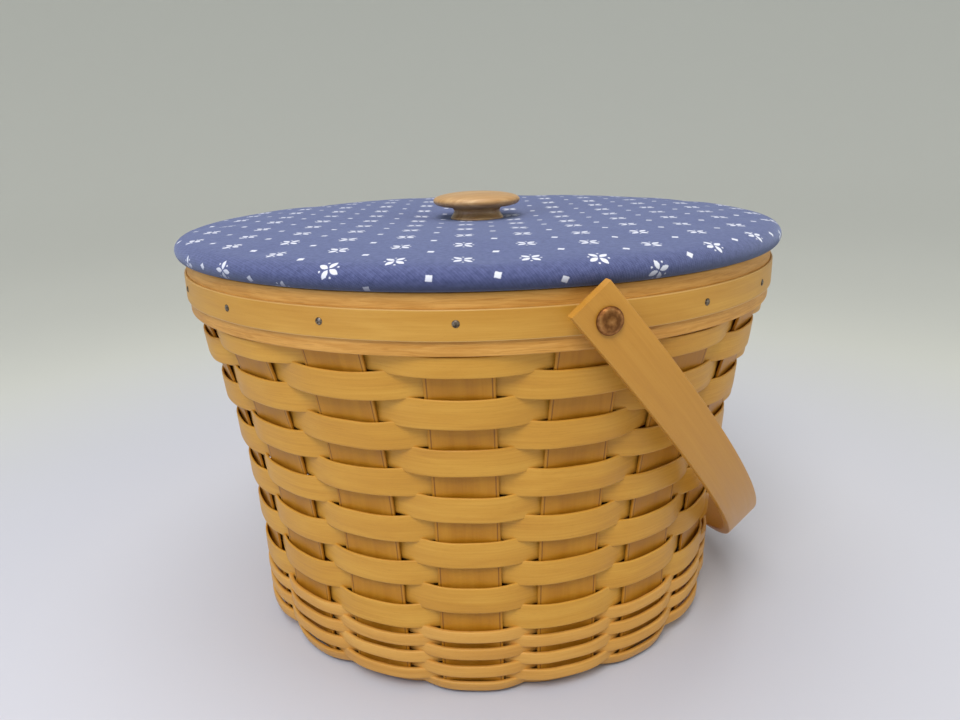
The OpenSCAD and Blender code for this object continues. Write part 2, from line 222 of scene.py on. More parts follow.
# Maple that shows its length: the grain attribute holds metres along the strip, metres across, and a number of its own
def mapleMaterial(name, look):
    material, tree, shader = newMaterial(name, {
        "IOR": 1.5, "Specular IOR Level": 0.35, "Coat Weight": look["coat"], "Coat Roughness": 0.35, "Coat IOR": 1.45})
    grain = addNode(tree, "ShaderNodeAttribute", {"attribute_name": "grain"}).outputs["Vector"]
    split = addNode(tree, splitNode, None, {0: grain}).outputs
    layers = {"piece": addNode(tree, "ShaderNodeTexWhiteNoise", {"noise_dimensions": "1D"}, {"W": split[2]})}
    for layer, lot, sockets in (
            ("fibre", 7.31, {"Detail": 4.0, "Roughness": 0.62, "Distortion": look["wavy"]}),
            ("figure", 3.17, {"Detail": 2.0, "Roughness": 0.5, "Distortion": 0.6}),
            ("fleck", 5.03, {"Detail": 1.0})):
        layerAt = addNode(tree, "ShaderNodeMapping", None, {
            "Vector": grain, "Scale": (1 / look[layer + "Long"], 1 / look[layer + "Wide"], lot)})
        layers[layer] = addNode(tree, "ShaderNodeTexNoise", None, dict(sockets, Vector=layerAt, Scale=1.0))
    fleckMask = addNode(tree, "ShaderNodeMapRange", None, {
        "Value": layers["fleck"], "From Min": 0.62, "From Max": 0.74, "To Max": look["fleckDark"]})
    tone = look["toneBase"]
    for layer in ("fibre", "figure", "piece"):
        tone = addNode(tree, mathNode, "MULTIPLY_ADD", {0: layers[layer], 1: look[layer + "Share"], 2: tone})
    colour = toneRamp(tree, tone, look, 0.2, 0.5, 0.8)
    flecked = addNode(tree, "ShaderNodeMix", {"data_type": "RGBA", "blend_type": "MULTIPLY"},
                      {0: fleckMask, 6: colour, 7: linear(look["fleck"])})
    if "edgeAt" in look:
        # A line along each long edge: a painted shadow where it is dark, as on the uprights, and a painted highlight
        # where it is pale, as on the trim
        side = addNode(tree, mathNode, "ABSOLUTE", {0: split[1]})
        beside = addNode(tree, mathNode, "COMPARE", {0: side, 1: look["edgeAt"], 2: look["edgeWide"]})
        paintedEdgeMask = addNode(tree, mathNode, "MULTIPLY", {0: beside, 1: look["paintedEdgeShare"]})
        flecked = addNode(tree, "ShaderNodeMix", {"data_type": "RGBA"},
                          {0: paintedEdgeMask, 6: flecked.outputs[2], 7: linear(look["edge"])})
    gloss = addNode(tree, "ShaderNodeMapRange", None, {
        "Value": layers["figure"], "From Min": 0.3, "From Max": 0.7,
        "To Min": look["rough"] - 0.06, "To Max": look["rough"] + 0.07})
    bump = addNode(tree, "ShaderNodeBump", None, {
        "Strength": look["bump"], "Distance": 0.0002, "Height": layers["fibre"]})
    feed(tree, shader, {"Base Color": flecked.outputs[2], "Roughness": gloss, "Normal": bump})
    return material


# Sliced maple, oiled: pale honey, fine lines along the strip, low satin shine
weaverLook = {
    "dark": "#b67c26", "mid": "#ca9232", "light": "#d9a544", "fleck": "#8c5e26",
    "fibreLong": 0.045, "fibreWide": 0.0009, "figureLong": 0.05, "figureWide": 0.007,
    "fleckLong": 0.0035, "fleckWide": 0.00028, "fleckDark": 0.12,
    "fibreShare": 0.42, "figureShare": 0.56, "pieceShare": 0.12, "toneBase": -0.045,
    "rough": 0.47, "coat": 0.08, "bump": 0.25, "wavy": 0.25,
}
# Narrow strips, paler and less gold than the wide ones: partly their own tone, partly painted bounce light from the
# pale table at the foot
narrowLook = dict(weaverLook, dark="#bd8331", mid="#d09843", light="#deab55")
# The same stock on the uprights, darker and a little redder as painted shade from the rows, with a painted shadow line
# along each edge
uprightLook = dict(
    weaverLook, dark="#a0650f", mid="#b47814", light="#c48924", fleckDark=0.06, fibreShare=0.2, toneBase=0.1,
    edgeAt=0.0134, edgeWide=0.00028, edge="#74450a", paintedEdgeShare=0.75)
# Sawn maple of the rim bands: coarse wavy lines, more orange
bandLook = dict(
    weaverLook, dark="#a86a28", mid="#c48a39", light="#d8a04f", fibreWide=0.0014, fibreLong=0.02, wavy=1.1,
    fleckLong=0.009, fleckWide=0.0006, fibreShare=1.0, toneBase=-0.27, fleckDark=0.16, bump=0.5, rough=0.52)
# Planed maple of the trim strip: smooth and even, with a painted highlight along its rounded edges
trimLook = dict(
    weaverLook, mid="#c48f36", light="#d4a248", fleckDark=0.08, fibreShare=0.35, toneBase=0.03, bump=0.15, rough=0.42,
    edgeAt=0.0062, edgeWide=0.0003, edge="#dcb472", paintedEdgeShare=0.5)
# Steam-bent maple of the handle, sanded smooth: pale, with a close even figure
handleLook = dict(
    weaverLook, dark="#aa7229", mid="#bf8732", light="#cc9741", fleckDark=0.05, figureLong=0.09, figureWide=0.006,
    fibreShare=0.26, figureShare=0.3, toneBase=0.2, bump=0.12, rough=0.4, coat=0.18)
weaverMaple = mapleMaterial("slicedMapleOiled", weaverLook)
narrowMaple = mapleMaterial("slicedMaplePale", narrowLook)
# Uprights: painted shade from the rows in their colour
uprightMaple = mapleMaterial("slicedMaplePaintedShade", uprightLook)
bandMaple = mapleMaterial("sawnMapleOiled", bandLook)
trimMaple = mapleMaterial("planedMapleOiled", trimLook)
handleMaple = mapleMaterial("steamBentMapleSanded", handleLook)
print("maple finishes done")

# The wall that all the splints follow, in metres: radius by height, then the base's bend, then the floor
wall = {
    "baseR": 0.1305, "rimR": 0.154, "rimZ": 0.17865, "flare": 2.4, "cornerR": 0.008, "floorZ": 0.002625,
    "narrowH": 0.0369, "wideRows": 12, "narrowRows": 8, "topRowH": 0.0079, "rimGap": 0.00035,
    "footRow": 0.005, "rowGap": 0.00015, "bandH": 0.0254, "uprights": 18, "pivotLift": 0.0015,
}
cornerZ = wall["floorZ"] + wall["cornerR"]
cornerLong = wall["cornerR"] * math.pi / 2
cornerAt = wall["narrowH"] - cornerZ
floorAt = cornerAt + cornerLong
rowPitch = (wall["rimZ"] - wall["rimGap"] - wall["topRowH"] - wall["narrowH"]) / (wall["wideRows"] - 1)
rimTop = wall["rimZ"] + wall["bandH"]
rimMid = wall["rimZ"] + wall["bandH"] / 2
pivotZ = rimMid + wall["pivotLift"]


def wallR(z):
    share = min(max(z, 0), wall["rimZ"]) / wall["rimZ"]
    return wall["baseR"] + (wall["rimR"] - wall["baseR"]) * share ** wall["flare"]


def skinPoint(down):
    if down <= cornerAt:
        return wallR(wall["narrowH"] - down), wall["narrowH"] - down
    if down <= floorAt:
        a = (down - cornerAt) / wall["cornerR"]
        return wallR(cornerZ) - wall["cornerR"] * (1 - math.cos(a)), cornerZ - wall["cornerR"] * math.sin(a)
    return wallR(cornerZ) - wall["cornerR"] - (down - floorAt), wall["floorZ"]


def rowStart(k):
    if k == 1:
        return wall["narrowH"] - wall["rimZ"] + wall["rimGap"]
    if k <= wall["wideRows"]:
        return -(wall["wideRows"] + 1 - k) * rowPitch
    if k <= wall["wideRows"] + wall["narrowRows"] + 1:
        return floorAt * ((k - wall["wideRows"] - 1) / wall["narrowRows"])
    return floorAt + wall["footRow"]


# A tree has named sizes; growPiece sets them by identifier, evaluates once and keeps the plain mesh
def newTree(name, floats, ints):
    tree = bpy.data.node_groups.new(name, "GeometryNodeTree")
    for kind, labels in (("Float", floats), ("Int", ints), ("Material", "Finish")):
        for label in labels.split():
            tree.interface.new_socket(name=label, in_out="INPUT", socket_type="NodeSocket" + kind)
    tree.interface.new_socket(name="Geometry", in_out="OUTPUT", socket_type="NodeSocketGeometry")
    return tree, addNode(tree, "NodeGroupInput").outputs


# A place on a ring about Z, by its angle from the front
def ringSpot(tree, angle, radius, height):
    sine = addNode(tree, mathNode, "SINE", {0: angle})
    cosine = addNode(tree, mathNode, "COSINE", {0: angle})
    forward = addNode(tree, mathNode, "MULTIPLY", {0: radius, 1: -1.0})
    atX = addNode(tree, mathNode, "MULTIPLY", {0: sine, 1: radius})
    atY = addNode(tree, mathNode, "MULTIPLY", {0: cosine, 1: forward})
    return addNode(tree, joinNode, None, {0: atX, 1: atY, 2: height})


def endTree(tree, size, geometry):
    real = addNode(tree, "GeometryNodeRealizeInstances", None, {"Geometry": geometry})
    finished = addNode(tree, "GeometryNodeSetMaterial", None, {"Geometry": real, "Material": size["Finish"]})
    addNode(tree, "NodeGroupOutput", None, {0: finished})


# Sweeps a flat strip with soft corners along a path, and stores how far along and across it each point lies
def sweepStrip(tree, size, path, corners, scale):
    stored = {"data_type": "FLOAT", "domain": "POINT"}
    run = addNode(tree, "GeometryNodeSplineParameter").outputs["Length"]
    marked = addNode(tree, "GeometryNodeStoreNamedAttribute", stored, {"Geometry": path, "Name": "along", "Value": run})
    outline = addNode(tree, "GeometryNodeCurvePrimitiveCircle", {"mode": "RADIUS"}, {
        "Resolution": corners, "Radius": 1.0})
    corner = addNode(tree, splitNode, None, {0: addNode(tree, "GeometryNodeInputPosition")})
    sides = []
    for axis, span in ((0, "Thickness"), (1, "Width")):
        reach = addNode(tree, mathNode, "ABSOLUTE", {0: corner.outputs[axis]})
        square = addNode(tree, mathNode, "POWER", {0: reach, 1: size["Roundness"]})
        sign = addNode(tree, mathNode, "SIGN", {0: corner.outputs[axis]})
        signed = addNode(tree, mathNode, "MULTIPLY", {0: square, 1: sign})
        half = addNode(tree, mathNode, "MULTIPLY", {0: size[span], 1: 0.5})
        sides.append(addNode(tree, mathNode, "MULTIPLY", {0: signed, 1: half}))
    strip = addNode(tree, joinNode, None, {0: sides[0], 1: sides[1]})
    section = addNode(tree, "GeometryNodeSetPosition", None, {"Geometry": outline, "Position": strip})
    across = addNode(tree, splitNode, None, {0: addNode(tree, "GeometryNodeInputPosition")})
    profile = addNode(tree, "GeometryNodeStoreNamedAttribute", stored, {
        "Geometry": section, "Name": "across", "Value": across.outputs[1]})
    swept = addNode(tree, "GeometryNodeCurveToMesh", None, {
        "Curve": marked, "Profile Curve": profile, "Scale": scale, "Fill Caps": True})
    readings = [addNode(tree, "GeometryNodeInputNamedAttribute", {"data_type": "FLOAT"}, {"Name": name})
                for name in ("along", "across")]
    grainAt = addNode(tree, joinNode, None, {0: readings[0], 1: readings[1], 2: size["Seed"]})
    return addNode(tree, "GeometryNodeStoreNamedAttribute", dict(stored, data_type="FLOAT_VECTOR"), {
        "Geometry": swept, "Name": "grain", "Value": grainAt})


def growPiece(name, tree, sizes):
    piece = addPiece(name, bpy.data.meshes.new(name + "Start"))
    modifier = piece.modifiers.new("Tree", "NODES")
    modifier.node_group = tree
    for item in tree.interface.items_tree:
        if item.in_out == "INPUT":
            modifier[item.identifier] = sizes[item.name]
    graph = bpy.context.evaluated_depsgraph_get()
    mesh = bpy.data.meshes.new_from_object(piece.evaluated_get(graph), depsgraph=graph)
    piece.modifiers.clear()
    piece.data = mesh
    mesh.name = name
    return piece


# Strips are wider than their row by "over", so that neighbours lap; the base bends below "bendZ"
rows = {
    "thickness": 0.0012, "narrowThickness": 0.0021, "wideOver": 0.0009, "narrowOver": 0.0013,
    "wideVary": 0.0005, "varyStep": 2.4, "mean": 0.0004, "swing": 0.0028, "narrowSwing": 0.0029, "swingVary": 0.5,
    "flatten": 0.12, "ripple": 0.0019, "narrowRipple": 0.00095, "rippleScale": 3.6,
    "spread": 0.08, "narrowSpread": 0.1, "bendZ": 0.008, "roundness": 0.3, "narrowRoundness": 0.42,
    "wideLean": 0.45, "cornerLean": 0.5, "steps": 14, "corners": 16, "seedStep": 1.37,
}
# Woven row: a ring whose distance from the uprights swings out over one and in behind the next
rowTree, size = newTree(
    "wovenRow", "Radius Height Out Up Lean Width Thickness Mean Swing Ripple Spread Roundness Floor Start Seed",
    "Uprights Steps")
count = addNode(rowTree, mathNode, "MULTIPLY", {0: size["Uprights"], 1: size["Steps"]})
ring = addNode(rowTree, "GeometryNodeCurvePrimitiveCircle", {"mode": "RADIUS"}, {"Resolution": count, "Radius": 1.0})
index = addNode(rowTree, "GeometryNodeInputIndex")
step = addNode(rowTree, mathNode, "DIVIDE", {0: index, 1: size["Steps"]})
swingAt = addNode(rowTree, mathNode, "MULTIPLY_ADD", {0: step, 1: math.pi, 2: math.pi})
swing1 = addNode(rowTree, mathNode, "COSINE", {0: swingAt})
swing3At = addNode(rowTree, mathNode, "MULTIPLY", {0: swingAt, 1: 3.0})
swing3 = addNode(rowTree, mathNode, "COSINE", {0: swing3At})
swingTop = addNode(rowTree, mathNode, "MULTIPLY", {0: swing3, 1: -rows["flatten"]})
wave = addNode(rowTree, mathNode, "MULTIPLY_ADD", {0: swing1, 1: 1 + rows["flatten"], 2: swingTop})
turn = addNode(rowTree, mathNode, "DIVIDE", {0: index, 1: count})
angle = addNode(rowTree, mathNode, "MULTIPLY_ADD", {0: turn, 1: 2 * math.pi, 2: size["Start"]})
sine = addNode(rowTree, mathNode, "SINE", {0: angle})
cosine = addNode(rowTree, mathNode, "COSINE", {0: angle})
towards = addNode(rowTree, joinNode, None, {0: sine, 1: cosine})
chance = addNode(rowTree, "ShaderNodeTexNoise", {"noise_dimensions": "4D"}, {
    "Vector": towards, "W": size["Seed"], "Scale": rows["rippleScale"], "Detail": 2.0})
uneven = addNode(rowTree, vectorNode, "SUBTRACT", {0: chance.outputs["Color"], 1: (0.5, 0.5, 0.5)})
unevenBy = addNode(rowTree, splitNode, None, {0: uneven})
swingBy = addNode(rowTree, mathNode, "MULTIPLY_ADD", {0: unevenBy.outputs[0], 1: rows["swingVary"], 2: 1.0})
swung = addNode(rowTree, mathNode, "MULTIPLY", {0: wave, 1: swingBy})
off = addNode(rowTree, mathNode, "MULTIPLY_ADD", {0: swung, 1: size["Swing"], 2: size["Mean"]})
radius = addNode(rowTree, mathNode, "MULTIPLY_ADD", {0: off, 1: size["Out"], 2: size["Radius"]})
lift = addNode(rowTree, mathNode, "MULTIPLY_ADD", {0: off, 1: size["Up"], 2: size["Height"]})
height = addNode(rowTree, mathNode, "MULTIPLY_ADD", {0: unevenBy.outputs[1], 1: size["Ripple"], 2: lift})
clear = addNode(rowTree, mathNode, "MAXIMUM", {0: height, 1: size["Floor"]})
path = addNode(rowTree, "GeometryNodeSetPosition", None, {
    "Geometry": ring, "Position": ringSpot(rowTree, angle, radius, clear)})
upward = addNode(rowTree, "GeometryNodeSetCurveNormal", {"mode": "Z_UP"}, {"Curve": path})
downward = addNode(rowTree, mathNode, "MULTIPLY", {0: size["Up"], 1: -1.0})
slope = addNode(rowTree, mathNode, "ARCTAN2", {0: downward, 1: size["Out"]})
leanBy = addNode(rowTree, mathNode, "MULTIPLY", {0: slope, 1: size["Lean"]})
lean = addNode(rowTree, "GeometryNodeSetCurveTilt", None, {"Curve": upward, "Tilt": leanBy})
# Wider where rows cross, which closes the gaps beside the uprights
level = addNode(rowTree, mathNode, "ABSOLUTE", {0: wave})
slack = addNode(rowTree, mathNode, "SUBTRACT", {0: 1.0, 1: level})
wide = addNode(rowTree, mathNode, "MULTIPLY_ADD", {0: slack, 1: size["Spread"], 2: 1.0})
rowStrip = sweepStrip(rowTree, size, lean, rows["corners"], wide)
smooth = addNode(rowTree, "GeometryNodeSetShadeSmooth", None, {"Geometry": rowStrip, "Shade Smooth": True})
endTree(rowTree, size, smooth)

rowTotal = wall["wideRows"] + wall["narrowRows"] + 1
for k in range(1, rowTotal + 1):
    topR, topZ = skinPoint(rowStart(k) + wall["rowGap"] / 2)
    lowR, lowZ = skinPoint(rowStart(k + 1) - wall["rowGap"] / 2)
    width = math.hypot(lowR - topR, lowZ - topZ)
    isWide = k <= wall["wideRows"]
    if isWide:
        node, over = "wide_weaver_%d" % k, rows["wideOver"] + rows["wideVary"] * math.sin(rows["varyStep"] * k)
    elif k < rowTotal:
        node, over = "narrow_weaver_%d" % (k - wall["wideRows"]), rows["narrowOver"]
    else:
        node, over = "foot_weaver", 0.0
    # The narrow strips are stiff, so round the bend they stand more upright than the uprights they lie on
    slope = math.atan2(topR - lowR, topZ - lowZ)
    if not isWide and k < rowTotal:
        slope *= rows["cornerLean"]
    thick = rows["narrowThickness"] if not isWide and k < rowTotal else rows["thickness"]
    stand = (width + over) / 2 * math.cos(slope) + thick / 2 * math.sin(slope)
    row = growPiece("row_" + node, rowTree, {
        "Radius": (topR + lowR) / 2, "Height": (topZ + lowZ) / 2, "Out": math.cos(slope), "Up": -math.sin(slope),
        "Lean": rows["wideLean"] if isWide else 1.0, "Width": width + over, "Thickness": thick,
        "Mean": rows["mean"], "Swing": rows["swing"] if isWide else rows["narrowSwing"],
        "Ripple": rows["ripple"] if isWide else rows["narrowRipple"],
        "Spread": rows["spread"] if isWide else rows["narrowSpread"] if lowZ > rows["bendZ"] else 0.0,
        "Roundness": rows["roundness"] if isWide else rows["narrowRoundness"], "Floor": stand,
        "Uprights": wall["uprights"], "Steps": rows["steps"],
        "Start": ((k + 1) % 2) * 2 * math.pi / wall["uprights"], "Seed": k * rows["seedStep"],
        "Finish": weaverMaple if isWide else narrowMaple})
    settle(row, "basket", "weaver_maple", node)
print("woven rows done:", rowTotal)

# Rim hoops: the same strip without a swing; each has its node, radius inside and outside, height, roundness and finish
rim = {
    "ripple": 0.0004, "steps": 10, "start": 2.2, "seed": 40.3, "seedStep": 3.1,
    "hoops": [
        ("inner_band", 0.150075, 0.153275, wall["bandH"], 0.1, bandMaple, "band_maple"),
        ("outer_band", 0.155422, 0.158172, wall["bandH"], 0.1, bandMaple, "band_maple"),
        ("trim_strip", 0.158172, 0.159472, 0.0127, 0.2, trimMaple, "trim_maple"),
    ],
}
for number, (node, inR, outR, tall, edge, finish, slot) in enumerate(rim["hoops"]):
    hoop = growPiece("hoop_" + node, rowTree, {
        "Radius": (inR + outR) / 2, "Height": rimMid, "Out": 1.0, "Up": 0.0, "Lean": 1.0,
        "Width": tall, "Thickness": outR - inR, "Mean": 0.0, "Swing": 0.0, "Ripple": rim["ripple"], "Spread": 0.0,
        "Roundness": edge, "Floor": 0.0, "Uprights": wall["uprights"], "Steps": rim["steps"],
        "Start": rim["start"] + number, "Seed": rim["seed"] + number * rim["seedStep"], "Finish": finish})
    settle(hoop, "basket", slot, node)
print("rim hoops done")

# Upright splints: up one side, across under the base in a stack, and up the other side
splints = {
    "count": 9, "width": 0.0294, "waist": 0.014, "gap": 0.0003, "thickness": 0.00125, "ease": 0.00022,
    "drop": 0.0003, "wallSteps": 40, "bendSteps": 10, "floorSteps": 12, "seedStep": 2.71,
}
pitch = math.pi / splints["count"]
waistX = (splints["waist"] + splints["gap"]) / 2 / math.tan(pitch / 2)
fullX = (splints["width"] + splints["gap"]) / 2 / math.tan(pitch / 2)
for i in range(1, splints["count"] + 1):
    side = [(wall["rimR"], rimTop - splints["drop"])]
    for s in range(splints["wallSteps"] + 1):
        z = wall["rimZ"] + (cornerZ - wall["rimZ"]) * s / splints["wallSteps"]
        side.append((wallR(z), z))
    for s in range(1, splints["bendSteps"] + 1):
        side.append(skinPoint(cornerAt + cornerLong * s / splints["bendSteps"]))
    for s in range(splints["floorSteps"] + 1):
        x = fullX * (1 - s / splints["floorSteps"])
        rise = (i - 1) * splints["thickness"] * min(1, max(0, (fullX - x) / (fullX - waistX)))
        side.append((x, wall["floorZ"] + rise))
    line = side + [(-x, z) for x, z in reversed(side[:-1])]
    bm = bmesh.new()
    grainLayer = bm.verts.layers.float_vector.new("grain")
    sections, along = [], 0.0
    for n, (x, z) in enumerate(line):
        a, b = line[max(n - 1, 0)], line[min(n + 1, len(line) - 1)]
        tangent = Vector((b[0] - a[0], b[1] - a[1])).normalized()
        normal = Vector((-tangent.y, tangent.x))
        share = min(1, max(0, (abs(x) - waistX) / (fullX - waistX)))
        halfW = (splints["waist"] + (splints["width"] - splints["waist"]) * share) / 2
        halfT, ease = splints["thickness"] / 2, splints["ease"]
        if n:
            along += math.hypot(x - line[n - 1][0], z - line[n - 1][1])
        ring = []
        for w, t in ((halfW, halfT - ease), (halfW - ease, halfT), (ease - halfW, halfT), (-halfW, halfT - ease),
                     (-halfW, ease - halfT), (ease - halfW, -halfT), (halfW - ease, -halfT), (halfW, ease - halfT)):
            vert = bm.verts.new((x + normal.x * t, w, z + normal.y * t))
            vert[grainLayer] = (along, w, i * splints["seedStep"])
            ring.append(vert)
        sections.append(ring)
    for one, two in zip(sections, sections[1:]):
        for c in range(8):
            bm.faces.new((one[c], one[(c + 1) % 8], two[(c + 1) % 8], two[c]))
    bm.faces.new(sections[0])
    bm.faces.new(list(reversed(sections[-1])))
    facing = Matrix.Rotation((i - 1) * pitch - math.pi / 2, 3, "Z")
    bmesh.ops.rotate(bm, verts=bm.verts, cent=(0, 0, 0), matrix=facing)
    bmesh.ops.recalc_face_normals(bm, faces=bm.faces)
    mesh = bpy.data.meshes.new("splint_%d" % i)
    bm.to_mesh(mesh)
    bm.free()
    settle(addPiece("splint_%d" % i, mesh, uprightMaple), "basket", "upright_maple", "upright_splint_%d" % i)
print("upright splints done")

# Swing handle: one strip bent to half an ellipse, with straight ends past the rivets
bow = {
    "rise": 0.222, "reach": 0.165672, "end": 0.0115, "width": 0.0205, "thickness": 0.0045, "hang": 50.0,
    "roundness": 0.12, "endShare": 0.06, "steps": 213, "corners": 32, "seed": 61.7,
}
handleTree, size = newTree("bentHandle", "Rise Reach End Width Thickness Roundness Hang Pivot Seed", "Steps")
line = addNode(handleTree, "GeometryNodeCurvePrimitiveLine")
even = addNode(handleTree, "GeometryNodeResampleCurve", None, {"Curve": line, "Count": size["Steps"]})
run = addNode(handleTree, "GeometryNodeSplineParameter")
# The part of the share beyond 1 is the straight end
share = addNode(handleTree, "ShaderNodeMapRange", None, {
    "Value": run.outputs["Factor"], "To Min": -1 - bow["endShare"], "To Max": 1 + bow["endShare"]})
bend = addNode(handleTree, "ShaderNodeClamp", None, {"Value": share, "Min": -1.0, "Max": 1.0})
bendAngle = addNode(handleTree, mathNode, "MULTIPLY", {0: bend, 1: math.pi / 2})
bendCos = addNode(handleTree, mathNode, "COSINE", {0: bendAngle})
bendSin = addNode(handleTree, mathNode, "SINE", {0: bendAngle})
past = addNode(handleTree, mathNode, "ABSOLUTE", {0: share})
pastEnd = addNode(handleTree, mathNode, "SUBTRACT", {0: past, 1: 1.0})
pastClear = addNode(handleTree, mathNode, "MAXIMUM", {0: pastEnd, 1: 0.0})
pastShare = addNode(handleTree, mathNode, "DIVIDE", {0: pastClear, 1: -bow["endShare"]})
pastLong = addNode(handleTree, mathNode, "MULTIPLY", {0: pastShare, 1: size["End"]})
runX = addNode(handleTree, mathNode, "MULTIPLY_ADD", {0: bendCos, 1: size["Rise"], 2: pastLong})
runY = addNode(handleTree, mathNode, "MULTIPLY", {0: bendSin, 1: size["Reach"]})
spot = addNode(handleTree, joinNode, None, {0: runX, 1: runY})
path = addNode(handleTree, "GeometryNodeSetPosition", None, {"Geometry": even, "Position": spot})
upward = addNode(handleTree, "GeometryNodeSetCurveNormal", {"mode": "Z_UP"}, {"Curve": path})
bentStrip = sweepStrip(handleTree, size, upward, bow["corners"], 1.0)
hangTurn = addNode(handleTree, joinNode, None, {1: size["Hang"]})
hangAt = addNode(handleTree, joinNode, None, {2: size["Pivot"]})
hung = addNode(handleTree, "GeometryNodeTransform", None, {
    "Geometry": bentStrip, "Translation": hangAt, "Rotation": hangTurn})
endTree(handleTree, size, hung)
handle = growPiece("bentHandle", handleTree, {
    "Rise": bow["rise"] + bow["thickness"] / 2, "Reach": bow["reach"] + bow["thickness"] / 2, "End": bow["end"],
    "Width": bow["width"], "Thickness": bow["thickness"], "Roundness": bow["roundness"],
    "Hang": math.radians(bow["hang"]), "Pivot": pivotZ, "Steps": bow["steps"], "Seed": bow["seed"],
    "Finish": handleMaple})
settle(handle, "handle", "handle_maple", "handle")
print("handle done")

# Tacks: shallow steel heads at the uprights that have no rivet
tackTree, size = newTree("rimTacks", "Radius Height Head Rise Stray", "Seed Uprights")
ring = addNode(tackTree, "GeometryNodeMeshCircle", None, {"Vertices": size["Uprights"], "Radius": size["Radius"]})
index = addNode(tackTree, "GeometryNodeInputIndex")
half = addNode(tackTree, mathNode, "DIVIDE", {0: size["Uprights"], 1: 2.0})
rivetAt = addNode(tackTree, mathNode, "MODULO", {0: index, 1: half})
hasTack = addNode(tackTree, mathNode, "GREATER_THAN", {0: rivetAt, 1: 0.5})
share = addNode(tackTree, mathNode, "DIVIDE", {0: index, 1: size["Uprights"]})
# Each tack strays a little, as one hammered in by hand does
stray = addNode(tackTree, "FunctionNodeRandomValue", {"data_type": "FLOAT_VECTOR"}, {
    0: (-1.0, -1.0, -1.0), 1: (1.0, 1.0, 1.0), "ID": index, "Seed": size["Seed"]})
strayBy = addNode(tackTree, vectorNode, "SCALE", {0: stray, "Scale": size["Stray"]})
strayPart = addNode(tackTree, splitNode, None, {0: strayBy})
strayTurn = addNode(tackTree, mathNode, "DIVIDE", {0: strayPart.outputs[0], 1: size["Radius"]})
tackZ = addNode(tackTree, mathNode, "ADD", {0: size["Height"], 1: strayPart.outputs[1]})
azimuth = addNode(tackTree, mathNode, "MULTIPLY_ADD", {0: share, 1: 2 * math.pi, 2: strayTurn})
placed = addNode(tackTree, "GeometryNodeSetPosition", None, {
    "Geometry": ring, "Position": ringSpot(tackTree, azimuth, size["Radius"], tackZ)})
ball = addNode(tackTree, "GeometryNodeMeshUVSphere", None, {"Segments": 16, "Rings": 10, "Radius": 1.0})
halfHead = addNode(tackTree, mathNode, "MULTIPLY", {0: size["Head"], 1: 0.5})
headScale = addNode(tackTree, joinNode, None, {0: halfHead, 1: halfHead, 2: size["Rise"]})
head = addNode(tackTree, "GeometryNodeTransform", None, {"Geometry": ball, "Scale": headScale})
facing = addNode(tackTree, joinNode, None, {0: math.pi / 2, 2: azimuth})
heads = addNode(tackTree, "GeometryNodeInstanceOnPoints", None, {
    "Points": placed, "Selection": hasTack, "Instance": head, "Rotation": facing})
smooth = addNode(tackTree, "GeometryNodeSetShadeSmooth", None, {"Geometry": heads, "Shade Smooth": True})
endTree(tackTree, size, smooth)


# Metal with the marks of its making: fine scratches and tarnish in patches, and on the rivets rings with a painted
# highlight on the crown
def metalMaterial(name, look):
    material, tree, shader = newMaterial(name, {"Metallic": 1.0})
    place = addNode(tree, "ShaderNodeTexCoord").outputs["Object"]
    patches = addNode(tree, "ShaderNodeTexNoise", None, {"Vector": place, "Scale": 1 / look["patch"], "Detail": 4.0})
    tone = patches
    if "crownR" in look:
        # Rings about the rivet's own axis: a painted highlight in the middle, a dark ring, a bright shoulder and a dark
        # foot
        flatAt = addNode(tree, "ShaderNodeMapping", None, {
            "Vector": place, "Location": (0, 0, -pivotZ), "Scale": (1, 0, 1)})
        fromAxis = addNode(tree, vectorNode, "LENGTH", {0: flatAt}).outputs["Value"]
        crownShare = addNode(tree, mathNode, "DIVIDE", {0: fromAxis, 1: look["crownR"]})
        greys = ((0.0, 0.7), (0.22, 0.5), (0.4, 0.25), (0.62, 0.3), (0.82, 0.6), (1.0, 0.2))
        rings = setRamp(addNode(tree, "ShaderNodeValToRGB", None, {0: crownShare}),
                        [(at, [grey] * 3 + [1.0]) for at, grey in greys])
        tone = addNode(tree, "ShaderNodeMix", None, {0: 0.5, 2: patches, 3: rings})
    colour = toneRamp(tree, tone, look, 0.35, 0.52, 0.68)
    gloss = addNode(tree, "ShaderNodeMapRange", None, {
        "Value": patches, "From Min": 0.3, "From Max": 0.7,
        "To Min": look["rough"] + 0.1, "To Max": look["rough"] - 0.08})
    scratches = addNode(tree, "ShaderNodeTexNoise", None, {
        "Vector": place, "Scale": 1 / look["scratch"], "Detail": 3.0})
    bump = addNode(tree, "ShaderNodeBump", None, {"Strength": look["bump"], "Distance": 0.00008, "Height": scratches})
    feed(tree, shader, {"Base Color": colour, "Roughness": gloss, "Normal": bump})
    return material


# Cold-headed copper gone brown: warm dull shine, with a painted highlight in the middle about the rivet's axis
copperMetal = metalMaterial("coldHeadedCopper", {
    "dark": "#7a4f2c", "mid": "#a06e3f", "light": "#be8a55",
    "patch": 0.0016, "scratch": 0.0005, "rough": 0.48, "bump": 0.3, "crownR": 0.0057})
# Bright tack steel gone grey: dull, with darker spots
tackSteel = metalMaterial("dulledTackSteel", {
    "dark": "#453c32", "mid": "#75695a", "light": "#9a8f80",
    "patch": 0.001, "scratch": 0.0003, "rough": 0.48, "bump": 0.4})
# Zinc-plated screw steel: even pale grey
screwSteel = metalMaterial("zincPlatedSteel", {
    "dark": "#8c8f90", "mid": "#a9acad", "light": "#c3c6c6",
    "patch": 0.003, "scratch": 0.0005, "rough": 0.34, "bump": 0.2})

